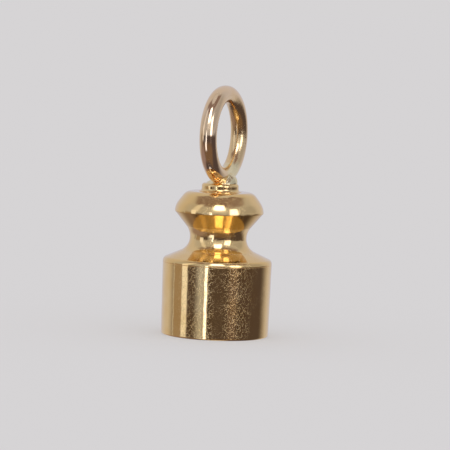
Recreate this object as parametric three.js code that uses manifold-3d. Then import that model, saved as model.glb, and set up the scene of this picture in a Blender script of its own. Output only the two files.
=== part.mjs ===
// A small gilt hanging ornament in the form of a squat, knob-topped balance weight.
// Millimetres, +Z up. The origin is the centre of the flat base.
// The hanging ring stands upright, parallel to the XZ plane, so its hole runs along Y.
//
// The body is a hollow shell of turned and pressed pieces. Each piece sits on a flat
// seat of the one below it and is kept central by a spigot, as a goldsmith builds it.

import * as THREE from 'three';
import { mergeVertices } from 'three/addons/utils/BufferGeometryUtils.js';
import Module from 'manifold-3d';

const wasm = await Module();
wasm.setup();

// Side band: it widens slightly from the base to the shoulder.
const BASE_RADIUS = 4.93;
const BODY_RADIUS = 5.0;
const BAND_TOP = 6.62;
const BASE_EDGE_ROUND = 0.15;
const BAND_BORE_RADIUS = 4.4;
const PLATE_SEAT_RADIUS = 4.53;
const PLATE_THICKNESS = 0.45;

// Shoulder: a low cone with a rounded rim.
const SHOULDER_SLOPE = 24;
const RIM_ROUND = 0.45;
const RIM_ROUND_START = 6.68;
const SHOULDER_HOLE_RADIUS = 3.0;

// Waisted neck between the shoulder and the knob.
const NECK_RADIUS = 2.6;
const NECK_BORE_RADIUS = 2.2;
const SHOULDER_FLARE = 1.35;
const KNOB_FLARE = 1.51;

// Mushroom knob: a lower cone, a vertical rim, an upper cone and a flat crown.
const KNOB_RADIUS = 4.07;
const KNOB_SEAM = 11.28;
const CUP_SLOPE = 50.5;
const CUP_THROAT_RADIUS = 1.85;
const CUP_FLOOR_THICKNESS = 0.3;
const CUP_LIP_RADIUS = 3.8;
const CUP_LIP_HEIGHT = 0.15;
const KNOB_RIM_ROUND = 1.5;
const DOME_SLOPE = 54;
const CROWN_TOP = 13.15;
const CROWN_FLAT_RADIUS = 2.61;
const CROWN_ROUND = 0.9;

// Collar that carries the ring, with a peg through the crown.
const COLLAR_RADIUS = 1.7;
const COLLAR_HEIGHT = 0.78;
const COLLAR_TOP_ROUND = 0.22;
const COLLAR_FOOT_FILLET = 0.25;
const COLLAR_FOOT_EDGE = 0.03;
const PEG_RADIUS = 0.6;
const PEG_LENGTH = 0.75;

// Ring of round wire. It stands in a shallow groove filed across the collar, soldered on
// by hand a little off the axis, and the solder leaves a thin film round the wire.
const RING_RADIUS = 3.75;
const WIRE_RADIUS = 0.785;
const RING_SEAT = 0.13;
const RING_OFFSET = -0.15;
const SOLDER_RADIUS = 1.32;
const SOLDER_TOP_RADIUS = 0.8;
const SOLDER_HEIGHT = 0.95;
const SOLDER_EDGE = 0.04;
const SOLDER_FILM = 0.01;

// Shell walls, running fits and the depth of the locating spigots.
const WALL = 0.45;
const CUP_WALL = 0.4;
const FIT = 0.02;
const SPIGOT_DEPTH = 0.38;

// Facets
const TURN_SEGMENTS = 48;
const RING_SEGMENTS = 48;
const WIRE_SEGMENTS = 16;

// Heights that follow from the sizes above
const COLLAR_TOP = CROWN_TOP + COLLAR_HEIGHT;
const RING_CENTRE = COLLAR_TOP - RING_SEAT + WIRE_RADIUS + RING_RADIUS;

const sin = (degrees) => Math.sin(THREE.MathUtils.degToRad(degrees));
const cos = (degrees) => Math.cos(THREE.MathUtils.degToRad(degrees));
const tan = (degrees) => Math.tan(THREE.MathUtils.degToRad(degrees));

const gold = { color: 0xe3bf73, roughness: 0.12, metalness: 1.0 };
const wireGold = { color: 0xe6c47c, roughness: 0.1, metalness: 1.0 };
const solder = { color: 0xe4d6ae, roughness: 0.32, metalness: 1.0 };

// A profile point: distance from the axis and height.
const point = (radius, height) => new THREE.Vector2(radius, height);

// Points along an arc, from one angle to another in degrees, both ends included.
function arc(centre, radius, start, end, steps) {
  const points = [];
  for (let step = 0; step <= steps; step += 1) {
    const angle = start + ((end - start) * step) / steps;
    points.push(point(centre.x + radius * cos(angle), centre.y + radius * sin(angle)));
  }
  return points;
}

function piece(name, geometry, finish) {
  const mesh = new THREE.Mesh(geometry, new THREE.MeshStandardMaterial(finish));
  mesh.name = name;
  return mesh;
}

// A solid of revolution about Z. The outline runs outwards along the bottom, up the
// outside and back, and an outline that stays off the axis is closed on itself.
function turned(outline) {
  const closed = outline[0].x > 0 ? [...outline, outline[0].clone()] : outline;
  const geometry = new THREE.LatheGeometry(closed, TURN_SEGMENTS);
  return geometry.rotateX(Math.PI / 2);
}

// A torus parallel to the XZ plane, about the ring's centre.
function wireRing(wireRadius) {
  const ring = new THREE.TorusGeometry(RING_RADIUS, wireRadius, WIRE_SEGMENTS, RING_SEGMENTS);
  ring.rotateX(Math.PI / 2);
  return ring.translate(0, RING_OFFSET, RING_CENTRE);
}

function toManifold(geometry) {
  const bare = geometry.clone();
  bare.deleteAttribute('normal');
  bare.deleteAttribute('uv');
  const merged = mergeVertices(bare);
  return new wasm.Manifold(
    new wasm.Mesh({
      numProp: 3,
      vertProperties: new Float32Array(merged.attributes.position.array),
      triVerts: new Uint32Array(merged.index.array),
    }),
  );
}

function fromManifold(solid) {
  const mesh = solid.getMesh();
  const geometry = new THREE.BufferGeometry();
  geometry.setAttribute('position', new THREE.BufferAttribute(mesh.vertProperties, 3));
  geometry.setIndex(new THREE.BufferAttribute(mesh.triVerts, 1));
  geometry.computeVertexNormals();
  return geometry;
}

// The rim round ends where the shoulder cone begins.
const rimCentre = point(BODY_RADIUS - RIM_ROUND, RIM_ROUND_START);
const rimRound = arc(rimCentre, RIM_ROUND, 0, 90 - SHOULDER_SLOPE, 5);
const coneStart = rimRound[rimRound.length - 1];
const shoulderHeight = (radius) => coneStart.y + (coneStart.x - radius) * tan(SHOULDER_SLOPE);

// The neck leaves the shoulder cone on a tangent and meets the knob's lower cone on one.
const neckFootRadius = NECK_RADIUS + SHOULDER_FLARE * (1 - sin(SHOULDER_SLOPE));
const neckFoot = point(neckFootRadius, shoulderHeight(neckFootRadius));
const shoulderFlare = arc(
  point(NECK_RADIUS + SHOULDER_FLARE, neckFoot.y + SHOULDER_FLARE * cos(SHOULDER_SLOPE)),
  SHOULDER_FLARE,
  270 - SHOULDER_SLOPE,
  180,
  8,
);
const cupRadius = (height) => KNOB_RADIUS - (KNOB_SEAM - height) / tan(CUP_SLOPE);
const neckHeadRadius = NECK_RADIUS + KNOB_FLARE * (1 - sin(CUP_SLOPE));
const neckHead = point(
  neckHeadRadius,
  KNOB_SEAM - (KNOB_RADIUS - neckHeadRadius) * tan(CUP_SLOPE),
);
const knobFlare = arc(
  point(NECK_RADIUS + KNOB_FLARE, neckHead.y - KNOB_FLARE * cos(CUP_SLOPE)),
  KNOB_FLARE,
  180,
  90 + CUP_SLOPE,
  5,
);

// Closes the bottom of the band, let in flush from below.
function basePlate() {
  const radius = PLATE_SEAT_RADIUS - FIT;
  return turned([
    point(0, 0),
    point(radius, 0),
    point(radius, PLATE_THICKNESS),
    point(0, PLATE_THICKNESS),
  ]);
}

function sideBand() {
  const edgeCentre = point(BASE_RADIUS - BASE_EDGE_ROUND, BASE_EDGE_ROUND);
  return turned([
    point(PLATE_SEAT_RADIUS, 0),
    ...arc(edgeCentre, BASE_EDGE_ROUND, -90, 0, 4),
    point(BODY_RADIUS, BAND_TOP),
    point(BAND_BORE_RADIUS, BAND_TOP),
    point(BAND_BORE_RADIUS, PLATE_THICKNESS),
    point(PLATE_SEAT_RADIUS, PLATE_THICKNESS),
  ]);
}

// Sits on the band's top edge, with a spigot down its bore and a seat for the neck.
function shoulderCap() {
  const spigotRadius = BAND_BORE_RADIUS - FIT;
  const innerRadius = spigotRadius - CUP_WALL;
  const underside = (radius) => shoulderHeight(radius) - WALL / cos(SHOULDER_SLOPE);
  return turned([
    point(innerRadius, BAND_TOP - SPIGOT_DEPTH),
    point(spigotRadius, BAND_TOP - SPIGOT_DEPTH),
    point(spigotRadius, BAND_TOP),
    point(BODY_RADIUS, BAND_TOP),
    ...rimRound,
    neckFoot,
    point(SHOULDER_HOLE_RADIUS, neckFoot.y),
    point(SHOULDER_HOLE_RADIUS, underside(SHOULDER_HOLE_RADIUS)),
    point(innerRadius, underside(innerRadius)),
  ]);
}

function neckSpool() {
  const spigotRadius = SHOULDER_HOLE_RADIUS - FIT;
  const foot = neckFoot.y - SPIGOT_DEPTH;
  return turned([
    point(NECK_BORE_RADIUS, foot),
    point(spigotRadius, foot),
    point(spigotRadius, neckFoot.y),
    ...shoulderFlare,
    ...knobFlare,
    point(NECK_BORE_RADIUS, neckHead.y),
  ]);
}

// The knob's lower cone, with a spigot down the neck and a lip that centres the dome.
function knobCup() {
  const spigotRadius = NECK_BORE_RADIUS - FIT;
  const floor = neckHead.y + CUP_FLOOR_THICKNESS;
  const insideRadius = (height) => cupRadius(height) - CUP_WALL / sin(CUP_SLOPE);
  return turned([
    point(CUP_THROAT_RADIUS, neckHead.y - SPIGOT_DEPTH),
    point(spigotRadius, neckHead.y - SPIGOT_DEPTH),
    point(spigotRadius, neckHead.y),
    neckHead,
    point(KNOB_RADIUS, KNOB_SEAM),
    point(CUP_LIP_RADIUS, KNOB_SEAM),
    point(CUP_LIP_RADIUS, KNOB_SEAM + CUP_LIP_HEIGHT),
    point(insideRadius(KNOB_SEAM), KNOB_SEAM + CUP_LIP_HEIGHT),
    point(insideRadius(KNOB_SEAM), KNOB_SEAM),
    point(insideRadius(floor), floor),
    point(CUP_THROAT_RADIUS, floor),
  ]);
}

// The knob's rim, upper cone and crown, with a hole for the collar's peg.
function knobDome() {
  const crownCentre = point(CROWN_FLAT_RADIUS, CROWN_TOP - CROWN_ROUND);
  const turn = 90 - DOME_SLOPE;
  const coneTop = point(
    crownCentre.x + CROWN_ROUND * cos(turn),
    crownCentre.y + CROWN_ROUND * sin(turn),
  );
  const rimRadius = KNOB_RADIUS - KNOB_RIM_ROUND;
  const coneFootRadius = rimRadius + KNOB_RIM_ROUND * cos(turn);
  const coneFootHeight = coneTop.y - (coneFootRadius - coneTop.x) * tan(DOME_SLOPE);
  const rimRoundCentre = point(rimRadius, coneFootHeight - KNOB_RIM_ROUND * sin(turn));
  const innerRound = KNOB_RIM_ROUND - WALL;
  const ledge = KNOB_SEAM + CUP_LIP_HEIGHT + FIT;
  const ledgeAngle = THREE.MathUtils.radToDeg(Math.asin((ledge - rimRoundCentre.y) / innerRound));
  const boreRadius = CUP_LIP_RADIUS + FIT;
  const pegHole = PEG_RADIUS + FIT;
  return turned([
    point(boreRadius, KNOB_SEAM),
    point(KNOB_RADIUS, KNOB_SEAM),
    ...arc(rimRoundCentre, KNOB_RIM_ROUND, 0, turn, 6),
    ...arc(crownCentre, CROWN_ROUND, turn, 90, 6),
    point(pegHole, CROWN_TOP),
    point(pegHole, CROWN_TOP - WALL),
    ...arc(crownCentre, CROWN_ROUND - WALL, 90, turn, 4),
    ...arc(rimRoundCentre, innerRound, turn, ledgeAngle, 3),
    point(boreRadius, ledge),
  ]);
}

// What is left of a solid when the wire and its film of solder are cut out of it.
function clearOfWire(geometry) {
  return fromManifold(toManifold(geometry).subtract(toManifold(wireRing(WIRE_RADIUS + SOLDER_FILM))));
}

function eyeCollar() {
  const footRadius = COLLAR_RADIUS + COLLAR_FOOT_FILLET;
  const footCentre = point(footRadius, CROWN_TOP + COLLAR_FOOT_EDGE + COLLAR_FOOT_FILLET);
  const topCentre = point(COLLAR_RADIUS - COLLAR_TOP_ROUND, COLLAR_TOP - COLLAR_TOP_ROUND);
  const disc = turned([
    point(0, CROWN_TOP - PEG_LENGTH),
    point(PEG_RADIUS, CROWN_TOP - PEG_LENGTH),
    point(PEG_RADIUS, CROWN_TOP),
    point(footRadius, CROWN_TOP),
    ...arc(footCentre, COLLAR_FOOT_FILLET, 270, 180, 4),
    ...arc(topCentre, COLLAR_TOP_ROUND, 0, 90, 5),
    point(0, COLLAR_TOP),
  ]);
  return clearOfWire(disc);
}

// A flared foot of solder. Its flank is flat against the collar and steep against the wire.
function ringSolder() {
  const flank = [];
  const steps = 8;
  for (let step = 0; step <= steps; step += 1) {
    const angle = (90 * step) / steps;
    const radius = SOLDER_RADIUS - (SOLDER_RADIUS - SOLDER_TOP_RADIUS) * sin(angle);
    const rise = (SOLDER_HEIGHT - SOLDER_EDGE) * (1 - cos(angle));
    flank.push(point(radius, COLLAR_TOP + SOLDER_EDGE + rise));
  }
  const foot = turned([
    point(0, COLLAR_TOP),
    point(SOLDER_RADIUS, COLLAR_TOP),
    ...flank,
    point(0, COLLAR_TOP + SOLDER_HEIGHT),
  ]);
  return clearOfWire(foot.translate(0, RING_OFFSET, 0));
}

const ornament = new THREE.Group();
ornament.add(
  piece('base_plate', basePlate(), gold),
  piece('side_band', sideBand(), gold),
  piece('shoulder_cap', shoulderCap(), gold),
  piece('neck_spool', neckSpool(), gold),
  piece('knob_cup', knobCup(), gold),
  piece('knob_dome', knobDome(), gold),
  piece('eye_collar', eyeCollar(), gold),
  piece('hanging_ring', wireRing(WIRE_RADIUS), wireGold),
  piece('ring_solder', ringSolder(), solder),
);

export default ornament;
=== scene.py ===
import math

import bmesh
import bpy
import numpy as np
from mathutils import Matrix, Vector


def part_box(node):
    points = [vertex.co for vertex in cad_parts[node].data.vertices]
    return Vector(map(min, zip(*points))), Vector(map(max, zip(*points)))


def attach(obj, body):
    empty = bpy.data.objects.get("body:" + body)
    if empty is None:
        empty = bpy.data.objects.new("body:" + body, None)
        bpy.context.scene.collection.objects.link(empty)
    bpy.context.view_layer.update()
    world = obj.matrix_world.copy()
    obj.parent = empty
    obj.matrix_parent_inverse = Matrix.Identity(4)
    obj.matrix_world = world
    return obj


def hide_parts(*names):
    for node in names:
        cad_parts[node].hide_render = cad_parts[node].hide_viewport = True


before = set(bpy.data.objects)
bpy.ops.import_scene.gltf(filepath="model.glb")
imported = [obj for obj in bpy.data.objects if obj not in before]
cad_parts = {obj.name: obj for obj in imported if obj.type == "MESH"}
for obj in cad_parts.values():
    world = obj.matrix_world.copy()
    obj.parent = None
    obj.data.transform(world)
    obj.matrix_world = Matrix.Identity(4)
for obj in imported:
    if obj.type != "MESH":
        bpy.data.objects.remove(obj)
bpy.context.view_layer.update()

# The pieces are worked out in millimetres, and meshes are written in metres.
MM = 0.001


def extent(node):
    """A turned node's outer radius, lowest height and highest height, in millimetres."""
    low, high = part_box(node)
    return high.x / MM, low.z / MM, high.z / MM


PLATE_R, _, PLATE_TOP = extent("base_plate")
BODY_R, _, BAND_TOP = extent("side_band")
_, CAP_SPIGOT_Z, NECK_FOOT_Z = extent("shoulder_cap")
NECK_FOOT_R, SPOOL_SPIGOT_Z, NECK_HEAD_Z = extent("neck_spool")
KNOB_R, CUP_SPIGOT_Z, CUP_LIP_TOP = extent("knob_cup")
_, KNOB_SEAM, CROWN_TOP = extent("knob_dome")
COLLAR_FOOT_R, PEG_FOOT, COLLAR_TOP = extent("eye_collar")
RING_OUTER, RING_LOW, RING_HIGH = extent("hanging_ring")
ring_low_corner, ring_high_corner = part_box("hanging_ring")
WIRE_R = (ring_high_corner.y - ring_low_corner.y) / 2 / MM
RING_OFFSET = (ring_high_corner.y + ring_low_corner.y) / 2 / MM
RING_R = RING_OUTER - WIRE_R
RING_CENTRE = (RING_LOW + RING_HIGH) / 2

# Profile sizes, in millimetres and degrees
FIT = 0.02
FOOT_TAPER = 0.07
BASE_EDGE_ROUND = 0.15
BAND_BORE_R = 4.4
PLATE_SEAT_R = PLATE_R + FIT
RIM_ROUND = 0.45
SHOULDER_SLOPE = 24
SHOULDER_HOLE_R = 3.0
NECK_R = 2.6
NECK_BORE_R = 2.2
SHOULDER_FLARE = 1.35
KNOB_FLARE = 1.51
CUP_SLOPE = 50.5
CUP_LIP_R = 3.8
CUP_THROAT_R = 1.85
CUP_FLOOR_THICKNESS = 0.3
KNOB_RIM_ROUND = 1.5
DOME_SLOPE = 54
DOME_BULGE = 0.02
CROWN_FLAT_R = 2.61
CROWN_ROUND = 0.9
CROWN_INNER_ROUND = 0.3
COLLAR_TOP_ROUND = 0.28
COLLAR_FOOT_FILLET = 0.25
COLLAR_FOOT_EDGE = 0.03
COLLAR_R = COLLAR_FOOT_R - COLLAR_FOOT_FILLET
PEG_R = 0.6
WALL = 0.45
CUP_WALL = 0.4
SEAM_ROUND = 0.03

# Mesh fineness
SEGMENTS = 320
ARC_STEP = 5.0
ARC_MIN_STEPS = 4
SUPPORT = 0.03
SPACING = 0.25
SHARP_TURN = math.radians(20)
TINY = 1e-6

# The camera stands where the photograph was taken from, and the ornament leans a little.
CAMERA_AZIMUTH = -68.0
CAMERA_ELEVATION = 4.6
CAMERA_DISTANCE = 247.0
CAMERA_LENS = 216.0
CAMERA_ROLL = 2.3
AIM_HEIGHT = 10.1
AIM_RIGHT = 0.57

rng = np.random.default_rng(7)


def tan(degrees):
    return math.tan(math.radians(degrees))


def sin(degrees):
    return math.sin(math.radians(degrees))


def cos(degrees):
    return math.cos(math.radians(degrees))


# ---------------------------------------------------------------- outlines and solids


def rounded(corners):
    """An outline of (radius, height, sharp) through corners (radius, height, fillet)."""
    outline = []
    count = len(corners)
    for index, (radius, height, fillet) in enumerate(corners):
        here = np.array((radius, height))
        back = np.array(corners[index - 1][:2]) - here
        ahead = np.array(corners[(index + 1) % count][:2]) - here
        back /= np.linalg.norm(back)
        ahead /= np.linalg.norm(ahead)
        turn = math.pi - math.acos(max(-1.0, min(1.0, float(back @ ahead))))
        if fillet == 0:
            outline.append((radius, height, turn > SHARP_TURN and radius > 0))
            continue
        reach = fillet * math.tan(turn / 2)
        middle = back + ahead
        middle /= np.linalg.norm(middle)
        centre = here + middle * fillet / math.cos(turn / 2)
        start = here + back * reach - centre
        end = here + ahead * reach - centre
        first = math.atan2(start[1], start[0])
        sweep = math.atan2(end[1], end[0]) - first
        sweep = (sweep + math.pi) % (2 * math.pi) - math.pi
        steps = max(ARC_MIN_STEPS, math.ceil(math.degrees(abs(sweep)) / ARC_STEP))
        for step in range(steps + 1):
            angle = first + sweep * step / steps
            outline.append(
                (centre[0] + fillet * math.cos(angle), centre[1] + fillet * math.sin(angle), False)
            )
    return outline


def subdivided(outline):
    """The outline with extra points on its long straights, close to their ends and between."""
    closed = outline[0][0] > 0
    count = len(outline)
    result = []
    for index in range(count):
        here = outline[index]
        ahead = outline[(index + 1) % count]
        length = math.hypot(ahead[0] - here[0], ahead[1] - here[1])
        if length < TINY:
            continue
        result.append(here)
        if (index == count - 1 and not closed) or length < 3 * SUPPORT:
            continue
        inner = max(1, math.ceil((length - 2 * SUPPORT) / SPACING))
        places = [SUPPORT + (length - 2 * SUPPORT) * step / inner for step in range(inner + 1)]
        for place in places:
            part = place / length
            result.append(
                (here[0] + (ahead[0] - here[0]) * part, here[1] + (ahead[1] - here[1]) * part, False)
            )
    return result


def new_object(name, vertices, faces, sharp_edges=None):
    """A smooth-shaded mesh object from points in millimetres."""
    mesh = bpy.data.meshes.new(name)
    mesh.from_pydata((np.asarray(vertices) * MM).tolist(), [], [list(face) for face in faces])
    mesh.polygons.foreach_set("use_smooth", [True] * len(mesh.polygons))
    if sharp_edges is not None:
        pairs = np.empty(len(mesh.edges) * 2, dtype=np.int32)
        mesh.edges.foreach_get("vertices", pairs)
        flags = sharp_edges(pairs.reshape(-1, 2))
        mesh.attributes.new("sharp_edge", "BOOLEAN", "EDGE").data.foreach_set("value", flags)
    mesh.validate()
    made = bpy.data.objects.new(name, mesh)
    bpy.context.scene.collection.objects.link(made)
    return made


def revolved(name, corners, shape=None):
    """A closed solid of revolution. shape(angle, radius, height) gives the real radius and height."""
    outline = subdivided(rounded(corners))
    closed = outline[0][0] > 0
    count = len(outline)
    radius = np.array([point[0] for point in outline])
    height = np.array([point[1] for point in outline])
    sharp = np.array([point[2] for point in outline])
    angle = np.linspace(0, 2 * math.pi, SEGMENTS, endpoint=False)[:, None]
    radii = np.repeat(radius[None, :], SEGMENTS, axis=0)
    heights = np.repeat(height[None, :], SEGMENTS, axis=0)
    if shape is not None:
        moved, raised = shape(angle, radii, heights)
        on_axis = radius < TINY
        radii = np.where(on_axis, 0.0, moved)
        heights = np.where(on_axis, heights, raised)
    grid = np.stack((radii * np.cos(angle), radii * np.sin(angle), heights), axis=-1)
    index = np.arange(SEGMENTS * count).reshape(SEGMENTS, count)
    if not closed:
        index[:, 0] = 0
        index[:, -1] = count - 1
    following = np.roll(index, -1, axis=0)
    steps = count if closed else count - 1
    faces = []
    for step in range(steps):
        after = (step + 1) % count
        quads = np.stack(
            (index[:, step], following[:, step], following[:, after], index[:, after]), axis=-1
        )
        if not closed and step == 0:
            quads = quads[:, [0, 2, 3]]
        elif not closed and step == steps - 1:
            quads = quads[:, [0, 1, 2]]
        faces.extend(quads.tolist())

    def sharp_edges(pairs):
        same = pairs[:, 0] % count == pairs[:, 1] % count
        return same & sharp[pairs[:, 0] % count]

    made = new_object(name, grid.reshape(-1, 3), faces, sharp_edges)
    drop_loose(made)
    return made


def drop_loose(piece):
    """Removes points that no face uses."""
    mesh = piece.data
    used = np.zeros(len(mesh.vertices), dtype=bool)
    corners = np.empty(len(mesh.loops), dtype=np.int32)
    mesh.loops.foreach_get("vertex_index", corners)
    used[corners] = True
    if used.all():
        return
    work = bmesh.new()
    work.from_mesh(mesh)
    work.verts.ensure_lookup_table()
    bmesh.ops.delete(work, geom=[v for v in work.verts if not used[v.index]], context="VERTS")
    work.to_mesh(mesh)
    work.free()


# ---------------------------------------------------------------- hand finish

MICROMETRE = 0.001

# Slow ripples left by hand polishing: size in micrometres, waves round the piece, waves per
# millimetre up it, and a phase.
RIPPLES = [
    (amount, turns, rise, rng.uniform(0, 2 * math.pi))
    for amount, turns, rise in (
        (3.0, 2, 0.10),
        (2.2, 5, 0.35),
        (1.6, 9, -0.5),
        (1.0, 17, 0.9),
        (0.7, 26, -1.4),
    )
]


def polished(angle, radius, height):
    """Radius and height with the ripples of hand polishing."""
    ripple = np.zeros_like(radius)
    for amount, turns, rise, phase in RIPPLES:
        wave = np.sin(turns * angle + 2 * math.pi * rise * (height + 0.6 * radius) + phase)
        ripple += amount * MICROMETRE * wave
    return radius + ripple, height + 0.5 * ripple


# ---------------------------------------------------------------- the turned pieces


def shoulder_height(radius):
    return NECK_FOOT_Z + (NECK_FOOT_R - radius) * tan(SHOULDER_SLOPE)


def cup_radius(height):
    return KNOB_R - (KNOB_SEAM - height) / tan(CUP_SLOPE)


neck_head_r = cup_radius(NECK_HEAD_Z)

base_plate = revolved(
    "polished_base_plate",
    [
        (0, 0, 0),
        (PLATE_R, 0, SEAM_ROUND),
        (PLATE_R, PLATE_TOP, SEAM_ROUND),
        (0, PLATE_TOP, 0),
    ],
)

side_band = revolved(
    "polished_side_band",
    [
        (PLATE_SEAT_R, 0, SEAM_ROUND),
        (BODY_R - FOOT_TAPER, 0, BASE_EDGE_ROUND),
        (BODY_R, BAND_TOP, SEAM_ROUND),
        (BAND_BORE_R, BAND_TOP, SEAM_ROUND),
        (BAND_BORE_R, PLATE_TOP, 0),
        (PLATE_SEAT_R, PLATE_TOP, 0),
    ],
    polished,
)

cap_spigot_r = BAND_BORE_R - FIT
cap_inner_r = cap_spigot_r - CUP_WALL
cap_drop = WALL / cos(SHOULDER_SLOPE)
shoulder_cap = revolved(
    "polished_shoulder_cap",
    [
        (cap_inner_r, CAP_SPIGOT_Z, 0),
        (cap_spigot_r, CAP_SPIGOT_Z, 0),
        (cap_spigot_r, BAND_TOP, 0),
        (BODY_R, BAND_TOP, SEAM_ROUND),
        (BODY_R, shoulder_height(BODY_R), RIM_ROUND),
        (NECK_FOOT_R, NECK_FOOT_Z, 0),
        (SHOULDER_HOLE_R, NECK_FOOT_Z, 0),
        (SHOULDER_HOLE_R, shoulder_height(SHOULDER_HOLE_R) - cap_drop, 0),
        (cap_inner_r, shoulder_height(cap_inner_r) - cap_drop, 0),
    ],
    polished,
)

spool_spigot_r = SHOULDER_HOLE_R - FIT
neck_spool = revolved(
    "polished_neck_spool",
    [
        (NECK_BORE_R, SPOOL_SPIGOT_Z, 0),
        (spool_spigot_r, SPOOL_SPIGOT_Z, 0),
        (spool_spigot_r, NECK_FOOT_Z, 0),
        (NECK_FOOT_R, NECK_FOOT_Z, 0),
        (NECK_R, shoulder_height(NECK_R), SHOULDER_FLARE),
        (NECK_R, NECK_HEAD_Z - (neck_head_r - NECK_R) * tan(CUP_SLOPE), KNOB_FLARE),
        (neck_head_r, NECK_HEAD_Z, 0),
        (NECK_BORE_R, NECK_HEAD_Z, 0),
    ],
    polished,
)

cup_inset = CUP_WALL / sin(CUP_SLOPE)
cup_floor = NECK_HEAD_Z + CUP_FLOOR_THICKNESS
knob_cup = revolved(
    "polished_knob_cup",
    [
        (CUP_THROAT_R, CUP_SPIGOT_Z, 0),
        (NECK_BORE_R - FIT, CUP_SPIGOT_Z, 0),
        (NECK_BORE_R - FIT, NECK_HEAD_Z, 0),
        (neck_head_r, NECK_HEAD_Z, 0),
        (KNOB_R, KNOB_SEAM, SEAM_ROUND),
        (CUP_LIP_R, KNOB_SEAM, 0),
        (CUP_LIP_R, CUP_LIP_TOP, 0),
        (KNOB_R - cup_inset, CUP_LIP_TOP, 0),
        (KNOB_R - cup_inset, KNOB_SEAM, 0),
        (cup_radius(cup_floor) - cup_inset, cup_floor, 0),
        (CUP_THROAT_R, cup_floor, 0),
    ],
    polished,
)

turn = 90 - DOME_SLOPE
crown_centre_z = CROWN_TOP - CROWN_ROUND
cone_top_r = CROWN_FLAT_R + CROWN_ROUND * cos(turn)
cone_top_z = crown_centre_z + CROWN_ROUND * sin(turn)


def dome_cone_radius(height):
    return cone_top_r + (cone_top_z - height) / tan(DOME_SLOPE)


rim_corner_z = cone_top_z - (KNOB_R - cone_top_r) * tan(DOME_SLOPE)
dome_bore_r = CUP_LIP_R + FIT
dome_inset = WALL / sin(DOME_SLOPE)
dome_ledge_z = CUP_LIP_TOP + FIT


def domed(angle, radius, height):
    """The hand finish, with the dome's cone swelled a little between the rim and the crown."""
    radius, height = polished(angle, radius, height)
    along = np.clip((height - rim_corner_z) / (cone_top_z - rim_corner_z), 0, 1)
    return radius, height + DOME_BULGE * 4 * along * (1 - along)


knob_dome = revolved(
    "polished_knob_dome",
    [
        (dome_bore_r, KNOB_SEAM, 0),
        (KNOB_R, KNOB_SEAM, 0),
        (KNOB_R, rim_corner_z, KNOB_RIM_ROUND),
        (dome_cone_radius(CROWN_TOP), CROWN_TOP, CROWN_ROUND),
        (PEG_R + FIT, CROWN_TOP, 0),
        (PEG_R + FIT, CROWN_TOP - WALL, 0),
        (dome_cone_radius(CROWN_TOP - WALL) - dome_inset, CROWN_TOP - WALL, CROWN_INNER_ROUND),
        (dome_cone_radius(dome_ledge_z) - dome_inset, dome_ledge_z, 0),
        (dome_bore_r, dome_ledge_z, 0),
    ],
    domed,
)

eye_collar = revolved(
    "polished_eye_collar",
    [
        (0, PEG_FOOT, 0),
        (PEG_R, PEG_FOOT, 0),
        (PEG_R, CROWN_TOP, 0),
        (COLLAR_FOOT_R, CROWN_TOP, 0),
        (COLLAR_FOOT_R, CROWN_TOP + COLLAR_FOOT_EDGE, 0),
        (COLLAR_R, CROWN_TOP + COLLAR_FOOT_EDGE, COLLAR_FOOT_FILLET - 0.001),
        (COLLAR_R, COLLAR_TOP, COLLAR_TOP_ROUND),
        (0, COLLAR_TOP, 0),
    ],
    polished,
)


# ---------------------------------------------------------------- ring and solder

RING_STEPS = 384
WIRE_STEPS = 72

# How far the drawn wire's thickness varies, as a part of it: along the ring, and in a twist
WIRE_UNEVEN = 0.006
WIRE_TWIST = 0.004


def ring_point(around, across, wire_r):
    """A point of the ring: around it from the +X side, and across the wire from its outside."""
    radius = RING_R + wire_r * np.cos(across)
    return np.stack(
        (
            radius * np.cos(around),
            RING_OFFSET + wire_r * np.sin(across),
            RING_CENTRE + radius * np.sin(around),
        ),
        axis=-1,
    )


def make_ring():
    """The closed ring, of slightly uneven wire."""
    around = np.linspace(0, 2 * math.pi, RING_STEPS, endpoint=False)[:, None]
    across = np.linspace(0, 2 * math.pi, WIRE_STEPS, endpoint=False)[None, :]
    drawn = 1 + WIRE_UNEVEN * np.sin(3 * around + 0.7)
    drawn = drawn + WIRE_TWIST * np.sin(7 * around + 2 * across)
    points = ring_point(around, across, WIRE_R * drawn)
    index = np.arange(RING_STEPS * WIRE_STEPS).reshape(RING_STEPS, WIRE_STEPS)
    ahead = np.roll(index, -1, axis=0)
    faces = np.stack(
        (index, ahead, np.roll(ahead, -1, axis=1), np.roll(index, -1, axis=1)), axis=-1
    )
    return new_object("polished_ring", points.reshape(-1, 3), faces.reshape(-1, 4)[:, ::-1])


hanging_ring = make_ring()

# Solder foot, in millimetres: its spread on the collar and how far that leans to one side, how
# high it climbs the wire on the -Y and +Y sides and under the ring, the half length and half
# width of its hidden top, and how deep it is sunk in the collar. It runs further up under the
# ring on the +X side. It leans, and its flank is fullest, between +X and -Y. The powers shape
# how the climb falls off round the foot, faster on the -X side, and how the flank curves.
SOLDER_R = 1.44
SOLDER_LEAN = 0.14
SOLDER_LEAN_ANGLE = -50
SOLDER_FULL_ANGLE = -45
SOLDER_SINK = 0.02
SOLDER_CLIMB = 1.05
SOLDER_CLIMB_BACK = 0.45
SOLDER_UNDER = 0.14
SOLDER_UNDER_FAR = 0.95
SOLDER_TOP_LONG = 1.2
SOLDER_TOP_LONG_FAR = 1.75
SOLDER_TOP_WIDE = 0.60
CLIMB_POWER = 0.45
CLIMB_POWER_NEAR = 1.5
FLANK_POWER = 1.2
FLANK_POWER_FULL = 1.2
LIFT_POWER = 0.95
SOLDER_TURNS = 240
SOLDER_RISE = 28


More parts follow.
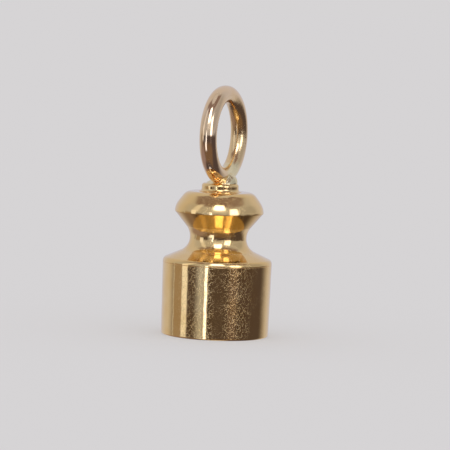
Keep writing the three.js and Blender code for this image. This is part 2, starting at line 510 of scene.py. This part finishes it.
def collar_surface(radius):
    """Height of the collar's rounded top at a distance from the axis."""
    over = np.clip(radius - (COLLAR_R - COLLAR_TOP_ROUND), 0, COLLAR_TOP_ROUND)
    return COLLAR_TOP - COLLAR_TOP_ROUND + np.sqrt(COLLAR_TOP_ROUND**2 - over**2)


def make_solder():
    """A foot that runs from the collar up the sides of the wire, with streaks drawn upward."""
    angle = np.linspace(0, 2 * math.pi, SOLDER_TURNS, endpoint=False)[:, None]
    rise = np.linspace(0, 1, SOLDER_RISE)[None, :]
    far = np.clip(np.cos(angle), 0, 1)
    near = np.clip(-np.cos(angle), 0, 1)
    spread = (
        SOLDER_R
        + SOLDER_LEAN * np.cos(angle - math.radians(SOLDER_LEAN_ANGLE))
        + 0.03 * np.sin(3 * angle + 1.9)
        + 0.015 * np.sin(8 * angle + 0.3)
    )
    across = np.sin(angle)
    climb = np.where(across < 0, SOLDER_CLIMB, SOLDER_CLIMB_BACK)
    under = SOLDER_UNDER + (SOLDER_UNDER_FAR - SOLDER_UNDER) * far
    length = SOLDER_TOP_LONG + (SOLDER_TOP_LONG_FAR - SOLDER_TOP_LONG) * far
    height = under + (climb - under) * np.abs(across) ** (CLIMB_POWER + CLIMB_POWER_NEAR * near)
    reach = np.hypot(np.cos(angle) * SOLDER_TOP_WIDE, across * length)
    top_r = length * SOLDER_TOP_WIDE / reach
    shift = RING_OFFSET * rise
    full = np.clip(np.cos(angle - math.radians(SOLDER_FULL_ANGLE)), 0, 1)
    radius = spread - (spread - top_r) * rise ** (FLANK_POWER + FLANK_POWER_FULL * full)
    foot = collar_surface(spread) - SOLDER_SINK
    lift = foot + (COLLAR_TOP + height - foot) * rise**LIFT_POWER
    streaks = 0.016 * np.sin(11 * angle + 1.3) + 0.012 * np.sin(19 * angle + 2.2)
    streaks = streaks + 0.008 * np.sin(31 * angle + 3 * rise)
    radius = radius + streaks * np.sin(math.pi * rise)
    grid = np.stack((radius * np.cos(angle), radius * np.sin(angle) + shift, lift), axis=-1)
    points = grid.reshape(-1, 3).tolist()
    index = np.arange(SOLDER_TURNS * SOLDER_RISE).reshape(SOLDER_TURNS, SOLDER_RISE)
    ahead = np.roll(index, -1, axis=0)
    faces = np.stack((index[:, :-1], ahead[:, :-1], ahead[:, 1:], index[:, 1:]), axis=-1)
    faces = faces.reshape(-1, 4).tolist()
    bottom = len(points)
    points.append([0, 0, COLLAR_TOP - SOLDER_SINK])
    points.append([0, RING_OFFSET, COLLAR_TOP + SOLDER_UNDER])
    for step in range(SOLDER_TURNS):
        faces.append([int(ahead[step, 0]), int(index[step, 0]), bottom])
        faces.append([int(index[step, -1]), int(ahead[step, -1]), bottom + 1])
    return new_object("solder_foot", points, faces)


ring_solder = make_solder()


# ---------------------------------------------------------------- materials

# A Mix node's sockets, by number because its data types share their names
MIX_FACTOR = 0
MIX_FLOAT_A = 2
MIX_FLOAT_B = 3
MIX_FLOAT_RESULT = 0
MIX_COLOUR_A = 6
MIX_COLOUR_B = 7
MIX_COLOUR_RESULT = 2

# Gold and solder colours, each with the deeper shade that it drifts to in places. The knob's
# lower cone is the recess, and its darker gold is painted shade on this downturned underside.
# The ring's inner side has one colour only.
GOLD = (0.94, 0.64, 0.265)
GOLD_DEEP = (0.92, 0.60, 0.225)
RECESS_SHADED_GOLD = (0.74, 0.46, 0.145)
RECESS_SHADED_DEEP = (0.74, 0.45, 0.13)
WIRE_GOLD = (0.92, 0.665, 0.40)
WIRE_GOLD_DEEP = (0.90, 0.62, 0.33)
INSIDE_GOLD = (0.90, 0.62, 0.29)
SOLDER_GOLD = (0.93, 0.77, 0.42)
SOLDER_DEEP = (0.90, 0.72, 0.38)

# Scratch layers: cells per millimetre, half width in millimetres and a shift that keeps the
# layers apart. A scratch is at full depth over the core part of its half width. Its ends fade
# out between these two parts of a cell from its middle. The higher the rarity, the fewer
# scratches are strong.
SHELL_SCRATCHES = [
    (0.7, 0.016, 23.9),
    (1.2, 0.015, 37.1),
    (1.7, 0.014, 41.7),
    (2.3, 0.014, 59.3),
    (3.1, 0.013, 71.9),
]
WIRE_SCRATCHES = [(0.9, 0.008, 3.1), (1.6, 0.007, 17.9), (2.6, 0.006, 29.3)]
SOLDER_SCRATCHES = [(2.5, 0.012, 7.7)]
SCRATCH_CORE = 0.3
SCRATCH_FADE = 0.15
SCRATCH_REACH = 0.5
SCRATCH_RARITY = 2.2

# Sides that have rubbed most: azimuth and half width in degrees, where 0 is -Y. Elsewhere the
# scratches, pits and haze have this part of their strength.
RUBBED_SIDES = [(-85, 19), (-43, 20), (100, 30)]
UNRUBBED = 0.3

# Where solder has run up the ring, and how rough and lumpy unpolished metal is
SOLDER_RUN_CENTRE = (0.9, -0.9, COLLAR_TOP + 0.9)
RAW_ROUGHNESS = 0.13
RAW_LUMPS = 9.0


def put(tree, socket, value):
    """Sets a socket, or links another socket to it."""
    if isinstance(value, bpy.types.NodeSocket):
        tree.links.new(value, socket)
    else:
        socket.default_value = value


def add(tree, kind, settings=None, inputs=None):
    node = tree.nodes.new(kind)
    for name, value in (settings or {}).items():
        setattr(node, name, value)
    for name, value in (inputs or {}).items():
        put(tree, node.inputs[name], value)
    return node


def math_node(tree, operation, first, second=0.0, third=0.0):
    inputs = {0: first, 1: second, 2: third}
    return add(tree, "ShaderNodeMath", {"operation": operation}, inputs).outputs[0]


def vector_node(tree, operation, first, second=(0, 0, 0)):
    node = add(tree, "ShaderNodeVectorMath", {"operation": operation}, {0: first, 1: second})
    return node.outputs["Value" if operation in ("DOT_PRODUCT", "LENGTH") else "Vector"]


def ramp(tree, value, low, high, to_low=0.0, to_high=1.0):
    """Smooth step from one value to another."""
    inputs = {"Value": value, "From Min": low, "From Max": high}
    inputs |= {"To Min": to_low, "To Max": to_high}
    settings = {"interpolation_type": "SMOOTHSTEP"}
    return add(tree, "ShaderNodeMapRange", settings, inputs).outputs["Result"]


def blend(tree, part, first, second):
    """A colour between two others."""
    inputs = {MIX_FACTOR: part, MIX_COLOUR_A: first, MIX_COLOUR_B: second}
    node = add(tree, "ShaderNodeMix", {"data_type": "RGBA"}, inputs)
    return node.outputs[MIX_COLOUR_RESULT]


def between(tree, part, first, second):
    """A number between two others."""
    inputs = {MIX_FACTOR: part, MIX_FLOAT_A: first, MIX_FLOAT_B: second}
    node = add(tree, "ShaderNodeMix", {"data_type": "FLOAT"}, inputs)
    return node.outputs[MIX_FLOAT_RESULT]


def scaled(tree, vector, factor):
    """A vector times a number."""
    inputs = {0: vector, "Scale": factor}
    return add(tree, "ShaderNodeVectorMath", {"operation": "SCALE"}, inputs).outputs["Vector"]


def noise_at(tree, place, scale, detail=2.0, roughness=0.5):
    inputs = {"Vector": place, "Scale": scale, "Detail": detail, "Roughness": roughness}
    return add(tree, "ShaderNodeTexNoise", None, inputs).outputs["Fac"]


def outward(tree, normal, middle):
    """The direction out of a turned surface, at a point's azimuth and the surface's own slope."""
    spoke = vector_node(tree, "MULTIPLY", middle, (1, 1, 0))
    level = vector_node(tree, "LENGTH", vector_node(tree, "MULTIPLY", normal, (1, 1, 0)))
    sideways = scaled(tree, vector_node(tree, "NORMALIZE", spoke), level)
    return vector_node(tree, "ADD", sideways, vector_node(tree, "MULTIPLY", normal, (0, 0, 1)))


def cells_at(tree, place, per_mm):
    """A Voronoi pattern in space with so many cells to the millimetre."""
    settings = {"feature": "F1", "voronoi_dimensions": "3D"}
    inputs = {"Vector": place, "Scale": per_mm, "Randomness": 1.0}
    return add(tree, "ShaderNodeTexVoronoi", settings, inputs)


def hairlines(tree, place, normal, turned, per_mm, width, shift):
    """Short straight scratches, one in each cell of a Voronoi pattern, at a random angle."""
    moved = vector_node(tree, "ADD", place, (shift, shift * 0.7, -shift))
    cells = cells_at(tree, moved, per_mm)
    offset = vector_node(tree, "SUBTRACT", moved, cells.outputs["Position"])
    middle = vector_node(tree, "SUBTRACT", place, offset)
    out = outward(tree, normal, middle) if turned else normal
    chance = vector_node(tree, "SUBTRACT", cells.outputs["Color"], (0.5, 0.5, 0.5))
    across = vector_node(tree, "NORMALIZE", vector_node(tree, "CROSS_PRODUCT", chance, out))
    along = vector_node(tree, "NORMALIZE", vector_node(tree, "CROSS_PRODUCT", out, across))
    away = math_node(tree, "ABSOLUTE", vector_node(tree, "DOT_PRODUCT", offset, across))
    run = math_node(tree, "ABSOLUTE", vector_node(tree, "DOT_PRODUCT", offset, along))
    line = ramp(tree, away, width, width * SCRATCH_CORE)
    ends = ramp(tree, run, SCRATCH_REACH / per_mm, SCRATCH_FADE / per_mm)
    draw = add(tree, "ShaderNodeTexWhiteNoise", None, {"Vector": middle}).outputs["Value"]
    strength = math_node(tree, "POWER", draw, SCRATCH_RARITY)
    return math_node(tree, "MULTIPLY", math_node(tree, "MULTIPLY", line, ends), strength)


def handled_side(tree, place):
    """1 on the sides where the ornament has rubbed most, and weaker elsewhere."""
    spoke = vector_node(tree, "NORMALIZE", vector_node(tree, "MULTIPLY", place, (1, 1, 0)))
    rubbed = UNRUBBED
    for azimuth, reach in RUBBED_SIDES:
        facing = vector_node(tree, "DOT_PRODUCT", spoke, (sin(azimuth), -cos(azimuth), 0))
        patch = ramp(tree, facing, cos(reach), cos(reach * 0.4))
        rubbed = math_node(tree, "MAXIMUM", rubbed, patch)
    return rubbed


def pits(tree, place, per_mm, size):
    """Small round dents, sparse and all of one size."""
    distance = cells_at(tree, place, per_mm).outputs["Distance"]
    return ramp(tree, distance, size * per_mm, size * per_mm * 0.4)


def ring_inside(tree, place):
    """1 on the inner side of the ring, which is rougher and deeper in colour."""
    spoke = vector_node(tree, "SUBTRACT", place, (0, 0, RING_CENTRE))
    flat = vector_node(tree, "MULTIPLY", spoke, (1, 0, 1))
    distance = vector_node(tree, "LENGTH", flat)
    return ramp(tree, distance, RING_R + 0.3 * WIRE_R, RING_R - 0.6 * WIRE_R)


def solder_run(tree, place):
    """1 where a skin of solder has run up the ring from its foot."""
    away = vector_node(tree, "LENGTH", vector_node(tree, "SUBTRACT", place, SOLDER_RUN_CENTRE))
    ragged = math_node(tree, "MULTIPLY_ADD", noise_at(tree, place, 2.2, 3.0), 1.1, away)
    return ramp(tree, ragged, 2.3, 1.3)


def ring_finish(tree, place, colour, roughness, grain):
    """The same finish with the ring's unpolished inner side and the solder run up it."""
    run = solder_run(tree, place)
    inner_side = ring_inside(tree, place)
    raw = math_node(tree, "MAXIMUM", inner_side, run)
    colour = blend(tree, inner_side, colour, (*INSIDE_GOLD, 1))
    colour = blend(tree, run, colour, (*SOLDER_GOLD, 1))
    roughness = math_node(tree, "MULTIPLY_ADD", raw, RAW_ROUGHNESS, roughness)
    lumps = math_node(tree, "MULTIPLY", noise_at(tree, place, 2.6, 3.0, 0.6), raw)
    grain = math_node(tree, "MULTIPLY_ADD", lumps, RAW_LUMPS, grain)
    return colour, roughness, grain


def gold(name, base, deep, rough, scratch_rough, scratches, depth, turned=True):
    """Polished gilt metal: hairline scratches, pits, faint haze and slight changes of colour.

    On the turned pieces, and on the solder as if it were turned, each scratch is laid square to
    the outward direction at its cell and is strongest on the rubbed sides. The ring has its own
    finish.
    """
    material = bpy.data.materials.new(name)
    material.use_nodes = True
    tree = material.node_tree
    shader = tree.nodes["Principled BSDF"]
    shader.inputs["Metallic"].default_value = 1.0
    place = scaled(tree, add(tree, "ShaderNodeTexCoord").outputs["Object"], 1 / MM)
    normal = add(tree, "ShaderNodeNewGeometry").outputs["Normal"]
    lines = 0.0
    for per_mm, width, shift in scratches:
        layer = hairlines(tree, place, normal, turned, per_mm, width, shift)
        lines = math_node(tree, "MAXIMUM", lines, layer)
    handled = ramp(tree, noise_at(tree, place, 0.42, 2.0), 0.36, 0.58, 0.3, 1.0)
    if turned:
        handled = math_node(tree, "MULTIPLY", handled, handled_side(tree, place))
    dents = math_node(tree, "MULTIPLY", pits(tree, place, 2.4, 0.035), handled)
    marks = math_node(tree, "MAXIMUM", math_node(tree, "MULTIPLY", lines, handled), dents)
    haze = noise_at(tree, place, 6.0, 4.0, 0.7)
    worn = ramp(tree, noise_at(tree, place, 0.55, 3.0), 0.35, 0.7)
    colour = blend(tree, worn, (*base, 1), (*deep, 1))
    dull = math_node(tree, "MULTIPLY", ramp(tree, haze, 0.4, 0.75), handled)
    smooth = math_node(tree, "MULTIPLY_ADD", dull, rough * 1.4, rough)
    roughness = between(tree, marks, smooth, scratch_rough)
    grain = math_node(tree, "MULTIPLY", haze, 0.15)
    if not turned:
        colour, roughness, grain = ring_finish(tree, place, colour, roughness, grain)
    put(tree, shader.inputs["Base Color"], colour)
    put(tree, shader.inputs["Roughness"], roughness)
    relief = math_node(tree, "MULTIPLY_ADD", marks, -1.0, grain)
    inputs = {"Strength": 1.0, "Distance": depth * MM, "Height": relief}
    bump = add(tree, "ShaderNodeBump", None, inputs)
    put(tree, shader.inputs["Normal"], bump.outputs["Normal"])
    return material


shell_gold = gold("gilt_shell", GOLD, GOLD_DEEP, 0.045, 0.48, SHELL_SCRATCHES, 0.007)
# The knob's lower cone: the same gilt with darker colours, painted shade on its downturned underside.
shaded_recess_gold = gold("gilt_recess_painted_shade", RECESS_SHADED_GOLD, RECESS_SHADED_DEEP, 0.07, 0.42, SHELL_SCRATCHES, 0.004)
wire_gold = gold(
    "gilt_wire", WIRE_GOLD, WIRE_GOLD_DEEP, 0.045, 0.35, WIRE_SCRATCHES, 0.002, turned=False
)
pale_solder = gold("pale_solder", SOLDER_GOLD, SOLDER_DEEP, 0.2, 0.4, SOLDER_SCRATCHES, 0.006)

PIECES = [
    (base_plate, "base_plate", "polished_gold", shell_gold),
    (side_band, "side_band", "polished_gold", shell_gold),
    (shoulder_cap, "shoulder_cap", "polished_gold", shell_gold),
    (neck_spool, "neck_spool", "polished_gold", shell_gold),
    (knob_cup, "knob_cup", "polished_gold", shaded_recess_gold),
    (knob_dome, "knob_dome", "polished_gold", shell_gold),
    (eye_collar, "eye_collar", "polished_gold", shell_gold),
    (hanging_ring, "hanging_ring", "ring_gold", wire_gold),
    (ring_solder, "ring_solder", "solder", pale_solder),
]
for piece, node_name, slot_name, material in PIECES:
    piece.data.materials.append(material)
    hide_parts(node_name)
    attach(piece, "root")

# ---------------------------------------------------------------- floor, camera and light

FLOOR_RADIUS = 20000.0
FLOOR_TURNS = 96
FLOOR_GREY = (0.40, 0.39, 0.395)
FLOOR_GLOW = (0.336, 0.329, 0.3325)


def make_floor():
    """A pale floor that glows a little, so the ornament's shadow on it stays light."""
    points = [[0, 0, 0]]
    for step in range(FLOOR_TURNS):
        angle = 2 * math.pi * step / FLOOR_TURNS
        points.append([FLOOR_RADIUS * math.cos(angle), FLOOR_RADIUS * math.sin(angle), 0])
    faces = [[0, 1 + step, 1 + (step + 1) % FLOOR_TURNS] for step in range(FLOOR_TURNS)]
    floor = new_object("floor", points, faces)
    material = bpy.data.materials.new("pale_floor")
    material.use_nodes = True
    shader = material.node_tree.nodes["Principled BSDF"]
    shader.inputs["Base Color"].default_value = (*FLOOR_GREY, 1)
    shader.inputs["Roughness"].default_value = 1.0
    shader.inputs["Emission Color"].default_value = (*FLOOR_GLOW, 1)
    shader.inputs["Emission Strength"].default_value = 1.0
    shader.inputs["Specular IOR Level"].default_value = 0.0
    floor.data.materials.append(material)
    floor.visible_glossy = False


make_floor()

toward_camera = Vector((sin(CAMERA_AZIMUTH), -cos(CAMERA_AZIMUTH), 0))
camera_right = Vector((cos(CAMERA_AZIMUTH), sin(CAMERA_AZIMUTH), 0))


def make_camera():
    """A long lens, aimed a little beside the axis and rolled by the ornament's lean."""
    data = bpy.data.cameras.new("camera")
    data.sensor_width = 36.0
    data.lens = CAMERA_LENS
    data.clip_start = 0.005
    data.clip_end = 60.0
    camera = bpy.data.objects.new("camera", data)
    bpy.context.scene.collection.objects.link(camera)
    back = toward_camera * cos(CAMERA_ELEVATION) + Vector((0, 0, sin(CAMERA_ELEVATION)))
    up = back.cross(camera_right)
    right = camera_right * cos(CAMERA_ROLL) + up * sin(CAMERA_ROLL)
    tilted_up = up * cos(CAMERA_ROLL) - camera_right * sin(CAMERA_ROLL)
    aim = Vector((0, 0, AIM_HEIGHT)) + camera_right * AIM_RIGHT
    turned = Matrix((right, tilted_up, back)).transposed()
    camera.matrix_world = Matrix.Translation((aim + back * CAMERA_DISTANCE) * MM) @ turned.to_4x4()
    bpy.context.scene.camera = camera


make_camera()

# The studio round the ornament, as its polish mirrors it, painted in this order. Each patch
# is a soft-edged rectangle of the surroundings: middle azimuth (0 is the camera's side, right
# is positive), half width, side softness, middle elevation, half height, softness above and
# below, all in degrees, then brightness and tint.
NEUTRAL = (0.97, 1.05, 1.36)
COOL = (0.92, 1.05, 1.50)
BROWN = (1.04, 0.86, 1.02)
AMBER = (1.04, 0.90, 0.85)
RUSSET = (1.10, 0.78, 0.60)
WALL_TINT = (1.0, 1.03, 1.22)
PATCHES = {
    "upper_wall": (0, 200, 1, 46, 47, 5, 0.50, NEUTRAL),
    "ceiling_gap": (0, 112, 14, 62, 14, 10, 0.24, BROWN),
    "zenith": (0, 200, 1, 86, 12, 8, 0.62, NEUTRAL),
    "right_wall": (86, 28, 16, 22, 16, 14, 0.42, NEUTRAL),
    "back_wall": (-171, 65, 36, 16, 54, 24, 0.60, WALL_TINT),
    "left_wall": (-90, 12, 8, -8, 11, 12, 0.33, AMBER),
    "right_floor": (36, 9, 9, -11, 10, 14, 0.15, BROWN),
    "front_floor": (0, 60, 30, -40, 22, 16, 0.17, RUSSET),
    "left_floor": (-100, 40, 36, -36, 18, 16, 0.30, BROWN),
    "table": (0, 200, 1, -88, 12, 6, 1.3, NEUTRAL),
    "left_window_top": (-66, 9, 10, 32, 22, 14, 0.80, NEUTRAL),
    "left_window": (-71, 7, 4, 3, 14, 10, 1.0, NEUTRAL),
    "left_edge": (-102, 1.4, 1.5, -6, 14, 8, 0.55, NEUTRAL),
    "strip_glow": (-32, 9, 18, -9, 14, 12, 0.50, COOL),
    "strip": (-21.8, 2.8, 2.2, -5, 14, 8, 2.5, COOL),
    "strip_foot": (-29, 9, 6, -25, 9, 7, 1.6, COOL),
    "key_glow": (0, 18, 14, 26, 14, 12, 0.75, NEUTRAL),
    "key": (0, 16, 8, 45, 17, 8, 3.1, NEUTRAL),
    "window": (40, 12, 6, 16, 17, 6, 2.6, NEUTRAL),
}
ROOM = 0.085
AMBIENT = (0.84, 0.84, 0.843)
BACKGROUND = (0.672, 0.658, 0.665)


def tinted(brightness, tint):
    return (*(brightness * part for part in tint), 1)


def inside(tree, offset, half, softness):
    """1 within half of the middle, falling softly to 0 just beyond it."""
    away = math_node(tree, "ABSOLUTE", offset)
    return ramp(tree, away, half + softness / 2, half - softness / 2)


def make_world():
    """The painted studio in reflections, and plain pale light for shading and background."""
    world = bpy.data.worlds.new("studio")
    bpy.context.scene.world = world
    world.use_nodes = True
    world.cycles.sampling_method = "NONE"
    tree = world.node_tree
    tree.nodes.clear()
    direction = add(tree, "ShaderNodeTexCoord").outputs["Generated"]
    toward = vector_node(tree, "DOT_PRODUCT", direction, toward_camera)
    rightward = vector_node(tree, "DOT_PRODUCT", direction, camera_right)
    upward = vector_node(tree, "DOT_PRODUCT", direction, (0, 0, 1))
    azimuth = math_node(tree, "DEGREES", math_node(tree, "ARCTAN2", rightward, toward))
    elevation = math_node(tree, "DEGREES", math_node(tree, "ARCSINE", upward))
    studio = tinted(ROOM, BROWN)
    for az, half_width, side_soft, el, half_height, top_soft, brightness, tint in PATCHES.values():
        sideways = math_node(tree, "SUBTRACT", azimuth, az)
        sideways = math_node(tree, "WRAP", sideways, 180.0, -180.0)
        raised = math_node(tree, "SUBTRACT", elevation, el)
        cover = math_node(
            tree,
            "MULTIPLY",
            inside(tree, sideways, half_width, side_soft),
            inside(tree, raised, half_height, top_soft),
        )
        studio = blend(tree, cover, studio, tinted(brightness, tint))
    path = add(tree, "ShaderNodeLightPath")
    for flag, colour in (("Is Diffuse Ray", AMBIENT), ("Is Camera Ray", BACKGROUND)):
        studio = blend(tree, path.outputs[flag], studio, (*colour, 1))
    background = add(tree, "ShaderNodeBackground", None, {"Color": studio, "Strength": 1.0})
    output = add(tree, "ShaderNodeOutputWorld")
    tree.links.new(background.outputs[0], output.inputs["Surface"])


make_world()

bpy.context.scene.view_settings.view_transform = "Standard"
